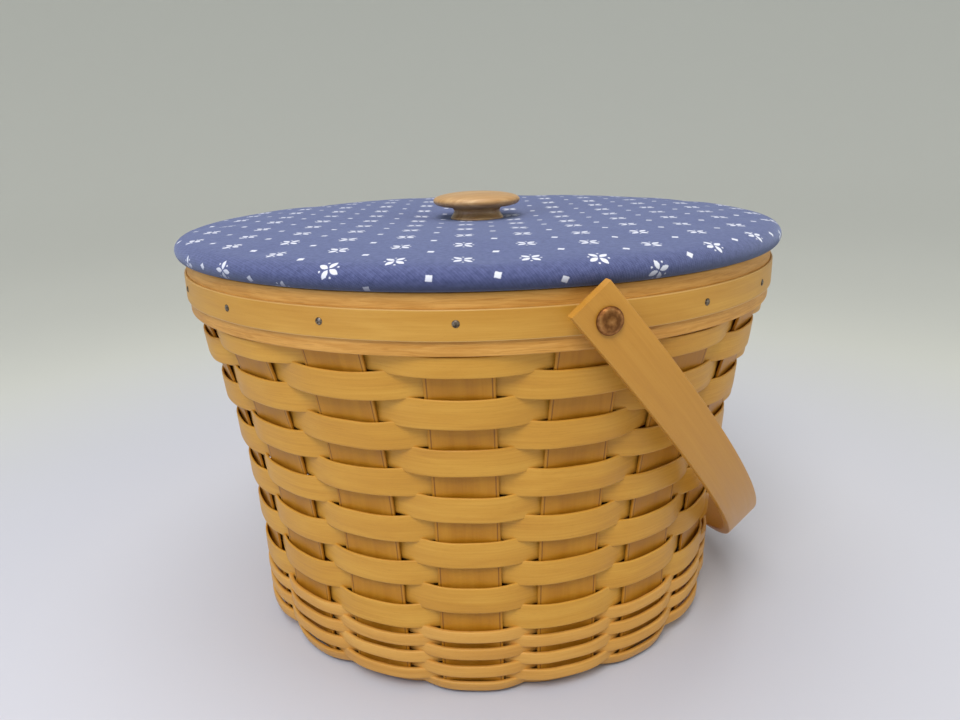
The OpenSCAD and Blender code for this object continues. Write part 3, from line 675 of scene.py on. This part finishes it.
tacks = {"radius": 0.159472, "head": 0.0032, "rise": 0.0006, "stray": 0.0009, "seed": 5}
tackPiece = growPiece("rimTacks", tackTree, {
    "Radius": tacks["radius"], "Height": rimMid, "Head": tacks["head"], "Rise": tacks["rise"],
    "Stray": tacks["stray"], "Seed": tacks["seed"], "Uprights": wall["uprights"], "Finish": tackSteel})
settle(tackPiece, "basket", "tack_steel", "rim_tacks")

# Rivets: a domed head outside the handle, the shank, and a closed end inside the rim
rivet = {
    "headAt": 0.170472, "headR": 0.0057, "headH": 0.0024, "shankR": 0.0024,
    "endAt": 0.147792, "closedR": 0.0034, "closedH": 0.0012, "ease": 0.0003, "lip": 0.18, "foot": 0.985,
}
headAt, endAt, closedR, lip = rivet["headAt"], rivet["endAt"], rivet["closedR"], rivet["lip"]
rivetOutline = [(rivet["headR"] * math.sin(a), headAt + rivet["headH"] * (lip + (1 - lip) * math.cos(a)))
                for a in [math.pi / 2 * s / 10 for s in range(11)]]
rivetOutline += [
    (rivet["headR"] * rivet["foot"], headAt), (rivet["shankR"], headAt), (rivet["shankR"], endAt + rivet["closedH"]),
    (closedR, endAt + rivet["closedH"]), (closedR, endAt + rivet["ease"]),
    (closedR - rivet["ease"], endAt), (0.0, endAt)]
for node, side in (("rivet_front", math.pi / 2), ("rivet_back", -math.pi / 2)):
    mesh = turned(node + "Copper", rivetOutline, 48)
    mesh.transform(Matrix.Translation((0, 0, pivotZ)) @ Matrix.Rotation(side, 4, "X"))
    settle(addPiece(node + "Copper", mesh, copperMetal), "basket", "copper", node)
print("tacks and rivets done")

# Turned maple: rings of the lathe, and the plank's grain across the cap
turnedLook = {
    "dark": "#a77b44", "mid": "#b68e5b", "light": "#cda974", "grainTurn": 0.5,
    "grainScale": (30.0, 520.0, 260.0),  # lines 33 mm long, 2 to 4 mm apart
}
turnedMaple, tree, shader = newMaterial("turnedMapleLacquered", {
    "IOR": 1.5, "Coat Weight": 0.25, "Coat Roughness": 0.25})
place = addNode(tree, "ShaderNodeTexCoord").outputs["Object"]
plankAt = addNode(tree, "ShaderNodeMapping", None, {
    "Vector": place, "Rotation": (0, 0, turnedLook["grainTurn"]), "Scale": turnedLook["grainScale"]})
plank = addNode(tree, "ShaderNodeTexNoise", None, {"Vector": plankAt, "Scale": 1.0, "Detail": 4.0, "Roughness": 0.6})
colour = toneRamp(tree, plank, turnedLook, 0.25, 0.5, 0.75)
gloss = addNode(tree, "ShaderNodeMapRange", None, {"Value": plank, "To Min": 0.36, "To Max": 0.5})
bump = addNode(tree, "ShaderNodeBump", None, {"Strength": 0.15, "Distance": 0.0002, "Height": plank})
feed(tree, shader, {"Base Color": colour, "Roughness": gloss, "Normal": bump})

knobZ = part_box("knob")[0].z
knobOutline = [
    (0.0148, 0.0), (0.0150, 0.0005), (0.0147, 0.0012), (0.0138, 0.0023), (0.0131, 0.0037), (0.0131, 0.0050),
    (0.0141, 0.0061), (0.0166, 0.0068), (0.0205, 0.0074), (0.0232, 0.0083), (0.0244, 0.0098), (0.0241, 0.0113),
    (0.0222, 0.0125), (0.0180, 0.0136), (0.0120, 0.0144), (0.0060, 0.01475), (0.0, 0.0148)]
knobShape = [(0.0, knobZ)] + [(r, knobZ + z) for r, z in smoothLine(knobOutline, 4)]
settle(addPiece("turnedKnob", turned("turnedKnob", knobShape, 96), turnedMaple), "lid", "turned_maple", "knob")

# Pressed fibreboard: brown, with short random fibres
boardLook = {
    "dark": "#7c5a38", "mid": "#9c7750", "light": "#b48f66", "cloudShare": 0.4,
    "fibreScale": 900.0, "cloudScale": 60.0,  # fibres of about 1 mm in clouds of about 17 mm
}
fibreboard, tree, shader = newMaterial("pressedFibreboard", {"IOR": 1.45})
place = addNode(tree, "ShaderNodeTexCoord").outputs["Object"]
fibres = addNode(tree, "ShaderNodeTexNoise", None, {
    "Vector": place, "Scale": boardLook["fibreScale"], "Detail": 5.0, "Roughness": 0.7, "Distortion": 1.5})
clouds = addNode(tree, "ShaderNodeTexNoise", None, {
    "Vector": place, "Scale": boardLook["cloudScale"], "Detail": 2.0})
mixed = addNode(tree, mathNode, "MULTIPLY_ADD", {0: clouds, 1: boardLook["cloudShare"], 2: fibres})
colour = toneRamp(tree, mixed, boardLook, 0.45, 0.7, 0.95)
gloss = addNode(tree, "ShaderNodeMapRange", None, {"Value": fibres, "To Min": 0.62, "To Max": 0.8})
bump = addNode(tree, "ShaderNodeBump", None, {"Strength": 0.3, "Distance": 0.0002, "Height": fibres})
feed(tree, shader, {"Base Color": colour, "Roughness": gloss, "Normal": bump})

# Pieces that show the CAD mesh
carried = {
    "spacer_front": turnedMaple, "spacer_back": turnedMaple, "burr_front": copperMetal, "burr_back": copperMetal,
    "knob_screw": screwSteel, "knob_washer": screwSteel, "lid_board": fibreboard, "lid_plug": fibreboard,
}
for node, finish in carried.items():
    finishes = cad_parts[node].data.materials
    finishes.clear()
    finishes.append(finish)
print("knob and lid discs done")

# Lid cover: calico drawn over the padded board and turned in under it
lid = {
    "reach": 0.162772, "midZ": 0.20925, "crown": 0.0074, "dimple": 0.0022, "dimpleReach": 0.026, "power": 26,
    "knobR": 0.015, "hemZ": 0.2044, "rollZ": 0.2045, "rollR": 0.1588, "steps": 216, "printTurn": 16.5,
    "slackIn": 0.0002, "lump": 0.0003, "lumpWide": 0.034, "cap": 0.0015, "frames": 20, "heldR": 0.0155,
    "heldLift": 0.0003, "ringStep": 0.004, "rings": 36,
    "edgeShares": (0.905, 0.925, 0.942, 0.957, 0.969, 0.979, 0.9865, 0.992, 0.996, 0.9985),
    "hemRings": (0.1567, 0.155, 0.151, 0.147, 0.142, 0.13, 0.1, 0.06, 0.02, 0.0),
}


def crownZ(r):
    return (lid["midZ"] + lid["crown"] * math.sqrt(max(0.0, 1 - (r / lid["reach"]) ** lid["power"]))
            - lid["dimple"] * math.exp(-(r / lid["dimpleReach"]) ** 2))


coverOutline = [(0.0, crownZ(lid["knobR"]))]
coverOutline += [(r, crownZ(max(r, lid["knobR"]))) for r in [lid["ringStep"] * s for s in range(1, lid["rings"] + 1)]]
coverOutline += [(lid["reach"] * s, crownZ(lid["reach"] * s)) for s in lid["edgeShares"]]
# The roll at the edge goes round the board's lower corner, and the hem behind it lies on the rim
edgeR = lid["reach"] - lid["rollR"]
coverOutline += [(lid["rollR"] + edgeR * math.cos(a), lid["midZ"] - (lid["midZ"] - lid["rollZ"]) * math.sin(a))
                 for a in [math.pi / 2 * s / 8 for s in range(9)]]
coverOutline += [(r, lid["hemZ"]) for r in lid["hemRings"]]
coverMesh = turned("calicoCover", coverOutline, lid["steps"])
coverPiece = addPiece("calicoCover", coverMesh)

# Flat print coordinates in metres: distance from the middle along the cloth, turned to the print's own square
runs = [0.0]
for (r0, z0), (r1, z1) in zip(coverOutline, coverOutline[1:]):
    runs.append(runs[-1] + math.hypot(r1 - r0, z1 - z0))
flatRuns = []
for n, (radius, height) in enumerate(coverOutline):
    flatRuns += [runs[n]] * (1 if radius < poleR else lid["steps"])
uvLayer = coverMesh.uv_layers.new(name="flatCloth")
for loop in coverMesh.loops:
    co = coverMesh.vertices[loop.vertex_index].co
    around = math.atan2(co.y, co.x) + math.radians(lid["printTurn"])
    out = flatRuns[loop.vertex_index]
    uvLayer.data[loop.index].uv = (out * math.cos(around), out * math.sin(around))

# The padding swells under the cloth, which is held by the knob and by the board's underside
held = coverPiece.vertex_groups.new(name="held")
rest = [v.co.copy() for v in coverMesh.vertices]
heldZ = lid["midZ"] + lid["heldLift"]
isHeld = {v.index for v in coverMesh.vertices if v.co.xy.length < lid["heldR"] or v.co.z < heldZ}
held.add(sorted(isHeld), 1.0, "REPLACE")
# It starts a little slack, over padding that is not quite even
for v in coverMesh.vertices:
    if v.index not in isHeld:
        v.co.z += lid["lump"] * noise.noise(v.co / lid["lumpWide"]) - lid["slackIn"]
cloth = coverPiece.modifiers.new("Cloth", "CLOTH")
clothSettings = {
    "quality": 6, "mass": 0.15, "tension_stiffness": 40, "compression_stiffness": 40, "bending_stiffness": 2,
    "vertex_group_mass": "held", "use_pressure": True, "uniform_pressure_force": 0.25,
}
for key, value in clothSettings.items():
    setattr(cloth.settings, key, value)
cloth.settings.effector_weights.gravity = 0
cloth.point_cache.frame_start = 1
cloth.point_cache.frame_end = lid["frames"]
for step in range(1, lid["frames"] + 1):
    scene.frame_set(step)
graph = bpy.context.evaluated_depsgraph_get()
swollen = coverPiece.evaluated_get(graph).to_mesh()
moved = [v.co.copy() for v in swollen.vertices]
coverPiece.evaluated_get(graph).to_mesh_clear()
coverPiece.modifiers.clear()
most = 0.0
for v, home, now in zip(coverMesh.vertices, rest, moved):
    shift = now - home
    most = max(most, shift.length)
    if shift.length > lid["cap"]:
        shift *= lid["cap"] / shift.length
    v.co = home + shift
scene.frame_set(1)
print("cloth moved at most %.2f mm" % (most * 1000))
settle(coverPiece, "lid", "calico", "lid_cover", "lid_pad")

# Plain-woven cotton, printed: blue ground with the weave showing, white figures on a square of about one inch
calico = {
    "ground": "#575e8a", "groundDark": "#3a416a", "white": "#dde0ea", "square": 0.026, "shift": (-0.006, -0.0985),
    "petalMid": 0.0028, "petalHalf": 0.0023, "petalWide": 0.00115, "dotAt": 0.004, "dotR": 0.00044,
    "squareR": 0.0013, "squareTurn": 0.2, "soft": 0.00018, "ragged": 0.0006,
    "fuzzScale": 1800.0, "blotchScale": 420.0,  # fuzz of 0.6 mm, blotches of 2.4 mm
    "thread": 0.001, "threadTurn": 0.1, "threadShare": 0.12, "slantPitch": 0.6, "slantShare": 0.07,
    # hemFrom to hemTo, hemShade and hem: painted shade towards the turned-under edge
    "hemFrom": 0.1635, "hemTo": 0.1712, "hemShade": 0.85, "hem": "#4a4c66",
}
calicoCloth, tree, shader = newMaterial("printedPlainWeaveCotton", {
    "IOR": 1.45, "Sheen Weight": 0.33, "Sheen Roughness": 0.6, "Sheen Tint": linear("#cfdfff"),
    "Specular IOR Level": 0.25, "Roughness": 0.85})
flat = addNode(tree, "ShaderNodeUVMap", {"uv_map": "flatCloth"}).outputs[0]
fuzz = addNode(tree, "ShaderNodeTexNoise", None, {"Vector": flat, "Scale": calico["fuzzScale"], "Detail": 2.0})
fuzzMid = addNode(tree, vectorNode, "SUBTRACT", {0: fuzz.outputs["Color"], 1: (0.5, 0.5, 0.5)})
fuzzBy = addNode(tree, vectorNode, "SCALE", {0: fuzzMid, "Scale": calico["ragged"]})
ragged = addNode(tree, vectorNode, "ADD", {0: flat, 1: fuzzBy})


# Place inside the print's square, with the squares moved by a share of one
def squareSpot(start):
    moveBy = [calico["shift"][n] + start * calico["square"] for n in (0, 1)]
    moved = addNode(tree, vectorNode, "SUBTRACT", {0: ragged, 1: (moveBy[0], moveBy[1], 0.0)})
    cells = addNode(tree, vectorNode, "SCALE", {0: moved, "Scale": 1 / calico["square"]})
    half = addNode(tree, vectorNode, "ADD", {0: cells, 1: (0.5, 0.5, 0.0)})
    inside = addNode(tree, vectorNode, "FRACTION", {0: half})
    centred = addNode(tree, vectorNode, "SUBTRACT", {0: inside, 1: (0.5, 0.5, 0.0)})
    return addNode(tree, vectorNode, "SCALE", {0: centred, "Scale": calico["square"]})


# The larger and the smaller distance from the axes of a figure that is turned by an angle
def farNear(spot, angle):
    turnedSpot = addNode(tree, "ShaderNodeVectorRotate", {"rotation_type": "Z_AXIS"}, {"Vector": spot, "Angle": angle})
    folded = addNode(tree, vectorNode, "ABSOLUTE", {0: turnedSpot})
    part = addNode(tree, splitNode, None, {0: folded}).outputs
    return [addNode(tree, mathNode, pick, {0: part[0], 1: part[1]}) for pick in ("MAXIMUM", "MINIMUM")]


# Four leaf-shaped petals on the diagonals, a dot between every two, and a small square between the florets
floretSpot, squareMiddle = squareSpot(0.0), squareSpot(0.5)
petalFar, petalNear = farNear(floretSpot, math.pi / 4)
fromMid = addNode(tree, mathNode, "SUBTRACT", {0: petalFar, 1: calico["petalMid"]})
shareOut = addNode(tree, mathNode, "DIVIDE", {0: fromMid, 1: calico["petalHalf"]})
squared = addNode(tree, mathNode, "MULTIPLY", {0: shareOut, 1: shareOut})
wideHere = addNode(tree, mathNode, "MULTIPLY_ADD", {
    0: squared, 1: -calico["petalWide"], 2: calico["petalWide"]})
petalDepth = addNode(tree, mathNode, "SUBTRACT", {0: wideHere, 1: petalNear})
dotFar, dotNear = farNear(floretSpot, 0.0)
dotFrom = addNode(tree, mathNode, "SUBTRACT", {0: dotFar, 1: calico["dotAt"]})
dotSpot = addNode(tree, joinNode, None, {0: dotFrom, 1: dotNear})
dotLong = addNode(tree, vectorNode, "LENGTH", {0: dotSpot}).outputs["Value"]
squareFar = farNear(squareMiddle, calico["squareTurn"])[0]
soft, printed = calico["soft"], 0.0
for measure, bare, inky in (
        (petalDepth, -soft, soft), (dotLong, calico["dotR"] + soft, calico["dotR"] - soft),
        (squareFar, calico["squareR"] + soft, calico["squareR"] - soft)):
    mask = addNode(tree, "ShaderNodeMapRange", None, {"Value": measure, "From Min": bare, "From Max": inky})
    printed = addNode(tree, mathNode, "MAXIMUM", {0: printed, 1: mask})
# Threads are 0.35 mm in real calico, drawn at 1 mm so that they show, with the slant they take to the eye
weaveScale = 2 * math.pi / calico["thread"]
threads = addNode(tree, "ShaderNodeVectorRotate", {"rotation_type": "Z_AXIS"}, {
    "Vector": flat, "Angle": calico["threadTurn"]})
threadAt = addNode(tree, splitNode, None, {0: threads})
warpAt, weftAt = [addNode(tree, mathNode, "MULTIPLY", {0: threadAt.outputs[n], 1: weaveScale}) for n in (0, 1)]
warp, weft = [addNode(tree, mathNode, "SINE", {0: at}) for at in (warpAt, weftAt)]
crossed = addNode(tree, mathNode, "MULTIPLY", {0: warp, 1: weft})
blotch = addNode(tree, "ShaderNodeTexNoise", None, {
    "Vector": flat, "Scale": calico["blotchScale"], "Detail": 4.0, "Roughness": 0.7})
slantSum = addNode(tree, mathNode, "ADD", {0: warpAt, 1: weftAt})
slantAt = addNode(tree, mathNode, "MULTIPLY", {0: slantSum, 1: calico["slantPitch"]})
slant = addNode(tree, mathNode, "SINE", {0: slantAt})
slanted = addNode(tree, mathNode, "MULTIPLY_ADD", {0: slant, 1: calico["slantShare"], 2: blotch})
shade = addNode(tree, mathNode, "MULTIPLY_ADD", {0: crossed, 1: calico["threadShare"], 2: slanted})
ground = setRamp(addNode(tree, "ShaderNodeValToRGB", None, {0: shade}), [
    (0.3, linear(calico["groundDark"])), (0.7, linear(calico["ground"]))])
inked = addNode(tree, "ShaderNodeMix", {"data_type": "RGBA"}, {0: printed, 6: ground, 7: linear(calico["white"])})
# Painted shade: the cloth darkens towards the turned-under edge, where it rolls under the lid and faces down
fromMiddle = addNode(tree, vectorNode, "LENGTH", {0: flat})
hemShadeMask = addNode(tree, "ShaderNodeMapRange", {"interpolation_type": "SMOOTHSTEP"}, {
    "Value": fromMiddle.outputs["Value"], "From Min": calico["hemFrom"], "From Max": calico["hemTo"],
    "To Max": calico["hemShade"]})
hemShadedCloth = addNode(tree, "ShaderNodeMix", {"data_type": "RGBA", "blend_type": "MULTIPLY"},
                 {0: hemShadeMask, 6: inked.outputs[2], 7: linear(calico["hem"])})
bump = addNode(tree, "ShaderNodeBump", None, {"Strength": 0.35, "Distance": 0.00025, "Height": shade})
feed(tree, shader, {"Base Color": hemShadedCloth.outputs[2], "Normal": bump})
coverMesh.materials.append(calicoCloth)
print("lid cover done")
